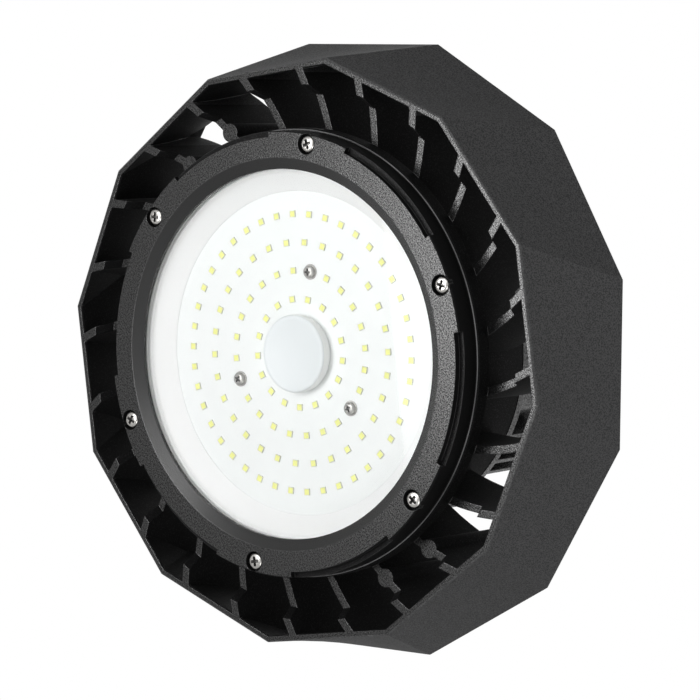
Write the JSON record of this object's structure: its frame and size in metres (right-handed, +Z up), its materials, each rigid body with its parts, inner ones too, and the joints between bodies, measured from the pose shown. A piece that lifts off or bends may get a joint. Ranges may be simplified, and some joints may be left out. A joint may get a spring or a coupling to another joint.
{
  "type": "high bay light",
  "caption": "Round industrial LED high bay light: finned die cast heat sink inside a twisted polygonal shroud, bezel with clear cover, ribbed driver housing, suspension eye and cable gland.",
  "frame": {"origin": "centre of the bezel's front face, which is the lowest face of the light as it hangs", "axes": "+Z up, away from the lit face; +X midway between one pair of the threaded bosses on the fins; +Y by the right hand rule"},
  "size_m": [0.2832, 0.2832, 0.1805],
  "materials": {
    "black_powder_coat": "fine sandy matte powder coat over die cast aluminium",
    "bezel_powder_coat": "coarser sandy matte powder coat over die cast aluminium",
    "housing_powder_coat": "fine sandy matte powder coat over die cast aluminium",
    "clear_cover": "clear flat cover",
    "silicone_black": "matte silicone",
    "silicone_grey": "matte thermal silicone",
    "white_reflector": "white satin moulding",
    "white_solder_mask": "satin white solder mask on an aluminium board",
    "led_package": "yellow phosphor in a white package",
    "cap_white": "satin white moulding with a cool tint",
    "nickel_screw": "nickel plated steel",
    "zinc_steel": "zinc plated steel",
    "brass_standoff": "bare brass",
    "gland_nylon": "black nylon",
    "board_green": "green solder mask",
    "ferrite": "sintered ferrite",
    "winding_tape": "yellow winding tape",
    "capacitor_sleeve": "dark shrink sleeve",
    "terminal_plastic": "green terminal moulding",
    "connector_white": "white connector moulding",
    "lead_red": "red wire insulation",
    "lead_black": "black wire insulation"
  },
  "bodies": {
    "root": {"heat_sink": "black_powder_coat", "bezel_ring": "bezel_powder_coat", "bezel_screws": "nickel_screw", "cover_lens": "clear_cover", "lens_gasket": "silicone_black", "reflector_ring": "white_reflector", "led_board": "white_solder_mask", "thermal_pad": "silicone_grey", "led_ring_1": "led_package", "led_ring_2": "led_package", "led_ring_3": "led_package", "led_ring_4": "led_package", "board_screws": "nickel_screw", "board_screw_washers": "zinc_steel", "centre_cap": "cap_white", "lead_terminals": "connector_white", "output_lead_positive": "lead_red", "output_lead_negative": "lead_black", "lead_grommet": "silicone_black", "housing_gasket": "silicone_black", "rear_housing": "housing_powder_coat", "housing_screws": "nickel_screw", "suspension_eye": "zinc_steel", "eye_washer": "zinc_steel", "eye_nut": "zinc_steel", "cable_gland_body": "gland_nylon", "cable_gland_seal": "silicone_black", "cable_gland_nut": "gland_nylon", "cable_gland_locknut": "gland_nylon", "vent_plug": "gland_nylon", "driver_board": "board_green", "driver_standoffs": "brass_standoff", "driver_board_screws": "nickel_screw", "transformer_core": "ferrite", "transformer_winding": "winding_tape", "bulk_capacitors": "capacitor_sleeve", "filter_choke": "ferrite", "mains_terminal": "terminal_plastic", "earth_screw": "nickel_screw"}
  },
  "joints": []
}
